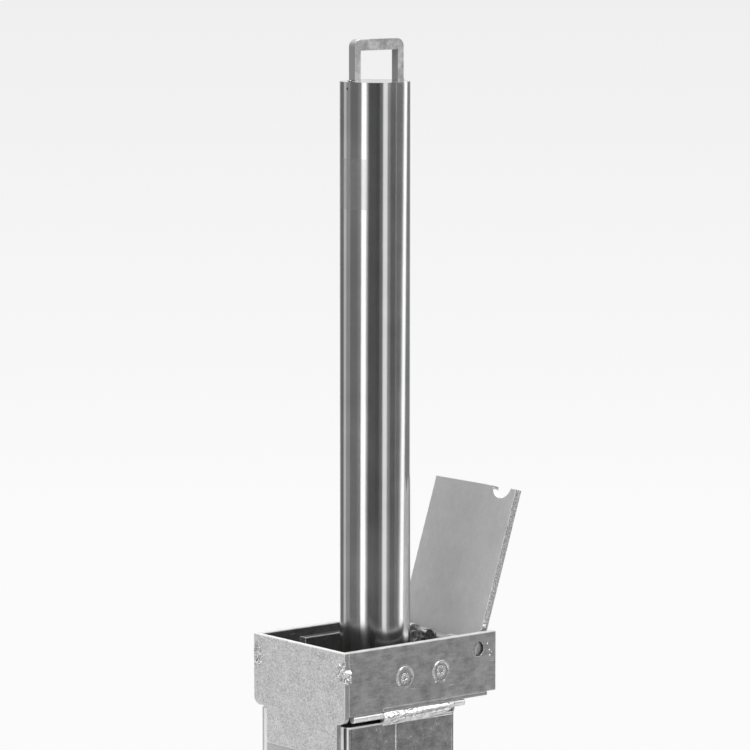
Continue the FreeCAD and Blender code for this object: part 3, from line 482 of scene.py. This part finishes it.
# A pair gives the first and the second plug
plugForm = {
    "voxel": 0.4, "radius": 12, "flush": 1.0, "lip": 10.9, "lipWide": 0.85, "lipHigh": 2.3, "lipLow": 0.15,
    "ring": (3.6, 4.2), "ringWide": 0.9, "ringHigh": (1.5, 1.2),
    "ringAside": (-0.4, -0.2), "ringUp": (-1.6, 0.3), "grain": 2.0, "rough": 1.6, "octaves": 2,
}


def plugHeight(spot, node, low, high):
    # a plug flush with the bar, a lip along its upper edge and the swirl that the welder left in its middle
    form = plugForm
    middle = (low + high) / 2
    second = spot.x > middle.x
    centre = high.x - form["radius"] * mm if second else low.x + form["radius"] * mm
    across = (spot.x - centre) / mm
    up = (spot.z - middle.z) / mm
    reach = math.hypot(across, up)
    upper = blend(form["lipLow"], 1.0, 0.5 + up / form["radius"])
    height = form["flush"] + form["lipHigh"] * upper * swell(reach, form["lip"], form["lipWide"])
    swirl = math.hypot(across - form["ringAside"][second], up - form["ringUp"][second])
    rough = 1 + form["rough"] * lumps(spot, form["grain"], form["octaves"])
    return height + form["ringHigh"][second] * rough * swell(swirl, form["ring"][second], form["ringWide"])


spots = {
    "corner_welds": {"body": "casing", "finish": small["zincOverSpotWeld"], "voxel": 0.4, "lump": 3.0,
                     "grain": 5.5, "lobes": (0.76, 0.24), "wide": 0.2, "high": 3.0, "sunk": 0.8},
    "handle_welds": {"body": "post", "finish": small["heatTintedWeld"], "voxel": 0.3, "lump": 1.3,
                     "grain": 3.0, "lobes": (0.3, 0.3), "wide": 0.3, "high": 0.9, "sunk": 0.8},
}


def spotHeight(spot, node, low, high):
    # lobes one above the other, as a torch leaves them
    form = spots[node]
    share = (spot.z - low.z) / (high.z - low.z)
    lobes = sum(swell(share, lobe, form["wide"]) for lobe in form["lobes"])
    return form["high"] * (lobes - form["sunk"]) + form["lump"] * lumps(spot, form["grain"], 1)


casting = {"merge": 0.002 * mm, "smoothTurns": 3, "smoothShare": 0.5}


def castBead(node, body, voxel, height, material, out=None):
    # an even skin over the plain solid, smoothed, then raised by its form along out or its own normals
    mesh = nodes[node].data.copy()
    piece = bpy.data.objects.new(f"{node}_bead", mesh)
    bpy.context.scene.collection.objects.link(piece)
    work = bmesh.new()
    work.from_mesh(mesh)
    bmesh.ops.remove_doubles(work, verts=work.verts, dist=casting["merge"])
    work.to_mesh(mesh)
    work.free()
    remesh = piece.modifiers.new("even", "REMESH")
    remesh.mode = "VOXEL"
    remesh.voxel_size = voxel * mm
    evaluated = piece.evaluated_get(bpy.context.evaluated_depsgraph_get())
    even = bpy.data.meshes.new_from_object(evaluated)
    piece.modifiers.clear()
    piece.data = even
    work = bmesh.new()
    work.from_mesh(even)
    for turn in range(casting["smoothTurns"]):
        bmesh.ops.smooth_vert(work, verts=work.verts, factor=casting["smoothShare"], use_axis_x=True,
                              use_axis_y=True, use_axis_z=True)
    work.normal_update()
    low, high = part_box(node)
    shifts = []
    for vert in work.verts:
        way = vert.normal if out is None else Vector(out)
        facing = 1.0 if out is None else max(0.0, vert.normal.dot(way))
        shifts.append(way * height(vert.co, node, low, high) * facing * mm)
    for vert, shift in zip(work.verts, shifts):
        vert.co += shift
    work.to_mesh(even)
    work.free()
    for face in even.polygons:
        face.use_smooth = True
    even.materials.clear()
    even.materials.append(material)
    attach(piece, body)
    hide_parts(node)


for node, facts in seams.items():
    castBead(node, "casing", seamForm["voxel"], seamHeight, small["zincOverWeld"], facts["out"])
for node, facts in plugs.items():
    castBead(node, "casing", plugForm["voxel"], plugHeight, small["zincOverPlug"], facts["out"])
for node, facts in spots.items():
    castBead(node, facts["body"], facts["voxel"], spotHeight, facts["finish"])
print("stage: weld beads cast")

# Spatter and zinc run, each placed by its pixel in the photograph


def onPlane(pixel, axis, value):
    # where a pixel of the photograph meets the plane square to an axis
    look = Vector(photo["look"]).normalized()
    right = look.cross(Vector((0, 0, 1))).normalized()
    down = look.cross(right)
    half = photo["frame"] / 2
    ray = look * photo["focal"] + right * (pixel[0] - half) + down * (pixel[1] - half)
    eye = Vector(photo["eye"])
    return eye + ray * ((value - eye[axis]) / ray[axis])


def finishPiece(name, work, material, body):
    bmesh.ops.recalc_face_normals(work, faces=work.faces)
    mesh = bpy.data.meshes.new(name)
    work.to_mesh(mesh)
    work.free()
    for face in mesh.polygons:
        face.use_smooth = True
    mesh.materials.append(material)
    piece = bpy.data.objects.new(name, mesh)
    bpy.context.scene.collection.objects.link(piece)
    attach(piece, body)


# Drops of zinc on a face square to an axis (0 is x, 1 is y): pixel across, pixel down and radius in mm
spatters = {
    "weld_spatter": {"on": "near_wall", "axis": 1, "body": "casing", "finish": small["zincOverWeld"],
                     "flat": 0.55, "rough": 0.25, "grain": 1.5,
                     "drops": [(413.6, 676.1, 0.8), (435.9, 681.9, 1.1), (444.3, 680.4, 1.0),
                               (398.8, 684.0, 2.0), (487.3, 643.6, 1.0), (489.5, 650.0, 1.3),
                               (491.3, 651.6, 0.9), (489.6, 655.0, 1.2)]},
    "lid_spatter": {"on": "lid_plate", "axis": 1, "body": "lid", "finish": small["zincOverWeld"],
                    "flat": 0.55, "rough": 0.25, "grain": 1.5,
                    "drops": [(484.2, 626.5, 2.4), (484.6, 622.4, 1.2)]},
    "corner_spatter": {"on": "end_plate", "axis": 0, "body": "casing", "finish": small["zincOverSpotWeld"],
                       "flat": 0.45, "rough": 1.5, "grain": 3.4,
                       "drops": [(338.4, 668.4, 4.6), (338.8, 675.0, 3.8), (341.6, 680.8, 4.8),
                                 (343.8, 664.4, 2.8), (257.6, 644.6, 3.8), (258.8, 649.4, 3.0),
                                 (258.4, 655.0, 3.8)]},
}


def makeSpatter(name, facts):
    # lumpy balls, flattened onto the face that they hit
    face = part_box(facts["on"])[0][facts["axis"]]
    squeeze = Vector((1, 1, 1))
    squeeze[facts["axis"]] = facts["flat"]
    work = bmesh.new()
    for across, up, radius in facts["drops"]:
        made = bmesh.ops.create_icosphere(work, subdivisions=4, radius=radius * mm)
        centre = onPlane((across, up), facts["axis"], face)
        for vert in made["verts"]:
            vert.co += vert.normal * lumps(vert.co + centre, facts["grain"], 1) * facts["rough"] * mm
        bmesh.ops.scale(work, verts=made["verts"], vec=squeeze)
        bmesh.ops.translate(work, verts=made["verts"], vec=centre)
    finishPiece(name, work, facts["finish"], facts["body"])


zincRun = {
    "pixel": (395.6, 722.0), "long": 55 * mm, "wide": 1.1 * mm, "steps": 26, "sides": 12,
    "thinner": 0.975, "sway": 0.35 * mm, "swayRate": 0.35,                      # at each step
}


def makeZincRun(facts):
    # a thread of zinc that ran down from the seam and set
    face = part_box("casing_tube")[0].y
    start = onPlane(facts["pixel"], 1, face)
    work = bmesh.new()
    ring = bmesh.ops.create_circle(work, segments=facts["sides"], radius=facts["wide"])["verts"]
    bmesh.ops.translate(work, verts=ring, vec=start)
    edges = list({edge for vert in ring for edge in vert.link_edges})
    step = facts["long"] / facts["steps"]
    for index in range(facts["steps"]):
        grown = bmesh.ops.extrude_edge_only(work, edges=edges)["geom"]
        ring = [item for item in grown if isinstance(item, bmesh.types.BMVert)]
        edges = [item for item in grown if isinstance(item, bmesh.types.BMEdge)]
        middle = sum((vert.co for vert in ring), Vector()) / len(ring)
        sway = noise.noise(Vector((0, 0, index * facts["swayRate"]))) * facts["sway"]
        bmesh.ops.scale(work, verts=ring, vec=Vector.Fill(3, facts["thinner"]),
                        space=Matrix.Translation(-middle))
        bmesh.ops.translate(work, verts=ring, vec=(sway, 0, -step))
    bmesh.ops.holes_fill(work, edges=work.edges)
    finishPiece("zinc_run", work, small["zincOverWeld"], "casing")


for name, facts in spatters.items():
    makeSpatter(name, facts)
makeZincRun(zincRun)
print("stage: spatter and zinc run made")

# Clear film on the tube. Degrees are from the camera's side, to its right.
film = {
    "below": 81 * mm, "tall": 54 * mm, "from": -78, "to": -14, "lift": 0.1 * mm, "steps": 32,
    "dark": "7C7C7C", "light": "8E8E8E", "rub": 8 * mm, "rough": 0.3, "alpha": 0.16, "ior": 1.6,
}


def clearPolyester(name, facts):
    # clear polyester film: greys what lies under it a little and is less sharp than the steel
    material, tree = newMaterial(name)
    place = addNode(tree, "ShaderNodeTexCoord").outputs["Object"]
    rub = addNode(tree, "ShaderNodeTexNoise", {"Scale": 1 / facts["rub"], "Detail": 3.0}, {"Vector": place})
    colour = twoTones(tree, rub.outputs["Fac"], facts["dark"], facts["light"])
    closeMaterial(tree, {"Roughness": facts["rough"], "Alpha": facts["alpha"], "IOR": facts["ior"]},
                  {"Base Color": colour})
    return material


def layFilm(facts):
    low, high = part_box("post_tube")
    radius = (high.x - low.x) / 2 + facts["lift"]
    angle = towardsCamera + math.radians(facts["from"])
    spot = Vector((math.cos(angle), math.sin(angle), 0)) * radius
    work = bmesh.new()
    top = work.verts.new(spot + Vector((0, 0, high.z - facts["below"])))
    foot = work.verts.new(spot + Vector((0, 0, high.z - facts["below"] - facts["tall"])))
    side = work.edges.new((foot, top))
    bmesh.ops.spin(work, geom=[foot, top, side], cent=(0, 0, 0), axis=(0, 0, 1),
                   angle=math.radians(facts["to"] - facts["from"]), steps=facts["steps"])
    bmesh.ops.recalc_face_normals(work, faces=work.faces)
    mesh = bpy.data.meshes.new("clearFilm")
    work.to_mesh(mesh)
    work.free()
    for face in mesh.polygons:
        face.use_smooth = True
    mesh.materials.append(clearPolyester("clearPolyesterFilm", facts))
    piece = bpy.data.objects.new("clear_film", mesh)
    bpy.context.scene.collection.objects.link(piece)
    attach(piece, "post")


layFilm(film)
print("stage: film laid")

# Floor, cards, lamps and world. Lengths are in metres.

stage = {
    "floor": "D8D8D8", "floorRadius": 6.0, "floorSides": 96,
    "fadeFrom": 0.7, "fadeTo": 2.6,                  # the floor fades into the backdrop
    "backdropHigh": "EFEFEF", "backdropLow": "FBFBFB",
    "backdropFrom": -0.16, "backdropTo": -0.03,      # by the height of the view's direction
    "skyTone": "FFFFFF", "skyLight": 0.36,
    "cardRadius": 3.2, "nearRadius": 3.05, "cardLow": -0.2, "cardHigh": 3.0, "cardStep": 3,
}
# Studio cards that only reflections see: the degrees of each foot from the camera's side, to its right,
# its strength, and how many degrees its top leans to the right of its foot
cards = [
    (-160, -128, 0.20, 18), (-128, -114, 0.68, 18), (-114, -94, 0.36, 18), (-94, -64, 0.20, 18),
    (-64, -52, 0.28, 18), (-52, -36, 1.75, 20), (-36, -29, 0.5, 18), (-29, -4, 0.10, 16), (-4, 10, 0.08, 14),
    (10, 21, 0.18, 12), (21, 35, 1.10, 14), (35, 45, 0.30, 14), (45, 66, 0.13, 14), (66, 100, 0.18, 16),
    (100, 150, 0.26, 16),
]
nearCards = [(70.7, 76.7, 0.5, 71), (76.7, 93.7, 1.75, 71)]                     # in front of the others
highCard = {"radius": 2.2, "low": 1.75, "high": 4.4, "start": 40, "end": 160, "strength": 1.9}


def finishStage(name, work, material):
    mesh = bpy.data.meshes.new(name)
    work.to_mesh(mesh)
    work.free()
    mesh.materials.append(material)
    piece = bpy.data.objects.new(name, mesh)
    bpy.context.scene.collection.objects.link(piece)
    return piece


def makeCard(name, start, end, strength, radius, rise):
    work = bmesh.new()
    feet = []
    for height, turn in rise:
        angle = towardsCamera + math.radians(start + turn)
        around = Vector((math.cos(angle), math.sin(angle), 0)) * radius
        feet.append(work.verts.new(around + Vector((0, 0, height))))
    edge = work.edges.new(feet)
    bmesh.ops.spin(work, geom=[*feet, edge], cent=(0, 0, 0), axis=(0, 0, 1), angle=math.radians(end - start),
                   steps=max(2, int((end - start) / stage["cardStep"])))
    material, tree = newMaterial(name)
    glow = addNode(tree, "ShaderNodeEmission", {"Strength": strength})
    addNode(tree, "ShaderNodeOutputMaterial", links={"Surface": glow.outputs[0]})
    card = finishStage(name, work, material)
    card.visible_camera = False
    card.visible_diffuse = False
    card.visible_shadow = False


def makeCards():
    for index, (start, end, strength, lean) in enumerate(cards + nearCards):
        rise = ((stage["cardLow"], 0), (stage["cardHigh"], lean))
        radius = stage["cardRadius"] if index < len(cards) else stage["nearRadius"]
        makeCard(f"studio_card_{index}", start, end, strength, radius, rise)
    facts = highCard
    rise = ((facts["low"], 0), (facts["high"], 0))
    makeCard("high_card", facts["start"], facts["end"], facts["strength"], facts["radius"], rise)


def makeFloor():
    work = bmesh.new()
    bmesh.ops.create_circle(work, cap_ends=True, segments=stage["floorSides"], radius=stage["floorRadius"])
    material, tree = newMaterial("paleFloor")
    matt = addNode(tree, "ShaderNodeBsdfDiffuse", {"Color": hexColour(stage["floor"])})
    clear = addNode(tree, "ShaderNodeBsdfTransparent")
    place = addNode(tree, "ShaderNodeTexCoord").outputs["Object"]
    far = addNode(tree, "ShaderNodeVectorMath", {"operation": "LENGTH"}, {0: place})
    fade = addNode(tree, "ShaderNodeMapRange", {"From Min": stage["fadeFrom"], "From Max": stage["fadeTo"]},
                   {"Value": far.outputs["Value"]})
    mixed = addNode(tree, "ShaderNodeMixShader",
                    links={0: fade.outputs[0], 1: matt.outputs[0], 2: clear.outputs[0]})
    addNode(tree, "ShaderNodeOutputMaterial", links={"Surface": mixed.outputs[0]})
    finishStage("floor", work, material)


def makeWorld():
    # the camera, mirrors and glass see the backdrop, and everything else gets plain sky light
    world = bpy.data.worlds.new("studio")
    bpy.context.scene.world = world
    world.use_nodes = True
    tree = world.node_tree
    tree.nodes.clear()
    path = addNode(tree, "ShaderNodeLightPath")
    seen = addNode(tree, "ShaderNodeMath", {"operation": "MAXIMUM"},
                   {0: path.outputs["Is Camera Ray"], 1: path.outputs["Is Glossy Ray"]})
    seen = addNode(tree, "ShaderNodeMath", {"operation": "MAXIMUM"},
                   {0: seen.outputs[0], 1: path.outputs["Is Transmission Ray"]})
    way = addNode(tree, "ShaderNodeTexCoord").outputs["Generated"]
    height = addNode(tree, "ShaderNodeSeparateXYZ", links={"Vector": way}).outputs["Z"]
    rise = addNode(tree, "ShaderNodeMapRange",
                   {"From Min": stage["backdropFrom"], "From Max": stage["backdropTo"]}, {"Value": height})
    shade = twoTones(tree, rise.outputs[0], stage["backdropLow"], stage["backdropHigh"], 0.0, 1.0)
    light = addNode(tree, "ShaderNodeBackground",
                    {"Color": hexColour(stage["skyTone"]), "Strength": stage["skyLight"]})
    back = addNode(tree, "ShaderNodeBackground", {"Strength": 1.0}, {"Color": shade})
    mixed = addNode(tree, "ShaderNodeMixShader",
                    links={0: seen.outputs[0], 1: light.outputs[0], 2: back.outputs[0]})
    addNode(tree, "ShaderNodeOutputWorld", links={"Surface": mixed.outputs[0]})


lamps = {
    "over": {"at": (-0.5, -0.3, 4.2), "aim": (0, 0, 1.0), "size": 2.6, "power": 120, "shine": True},
    "left": {"at": (-3.4, -0.3, 2.0), "aim": (0, 0, 1.0), "size": 1.8, "power": 95, "shine": False},
}


def makeLamps():
    for name, facts in lamps.items():
        data = bpy.data.lights.new(name, "AREA")
        data.shape = "SQUARE"
        data.size = facts["size"]
        data.energy = facts["power"]
        lamp = bpy.data.objects.new(name, data)
        bpy.context.scene.collection.objects.link(lamp)
        lamp.visible_glossy = facts["shine"]
        away = Vector(facts["at"]) - Vector(facts["aim"])
        turn = away.to_track_quat("Z", "Y").to_matrix().to_4x4()
        lamp.matrix_world = Matrix.Translation(facts["at"]) @ turn


def makeCamera():
    data = bpy.data.cameras.new("photo")
    data.sensor_width = photo["sensor"]
    data.lens = data.sensor_width * photo["focal"] / photo["frame"]
    data.clip_end = photo["farthest"]
    camera = bpy.data.objects.new("photo", data)
    bpy.context.scene.collection.objects.link(camera)
    turn = Vector(photo["look"]).to_track_quat("-Z", "Y").to_matrix().to_4x4()
    camera.matrix_world = Matrix.Translation(photo["eye"]) @ turn
    bpy.context.scene.camera = camera


makeFloor()
makeCards()
makeLamps()
makeWorld()
makeCamera()
bpy.context.scene.view_settings.view_transform = "Standard"
print("stage: set built")
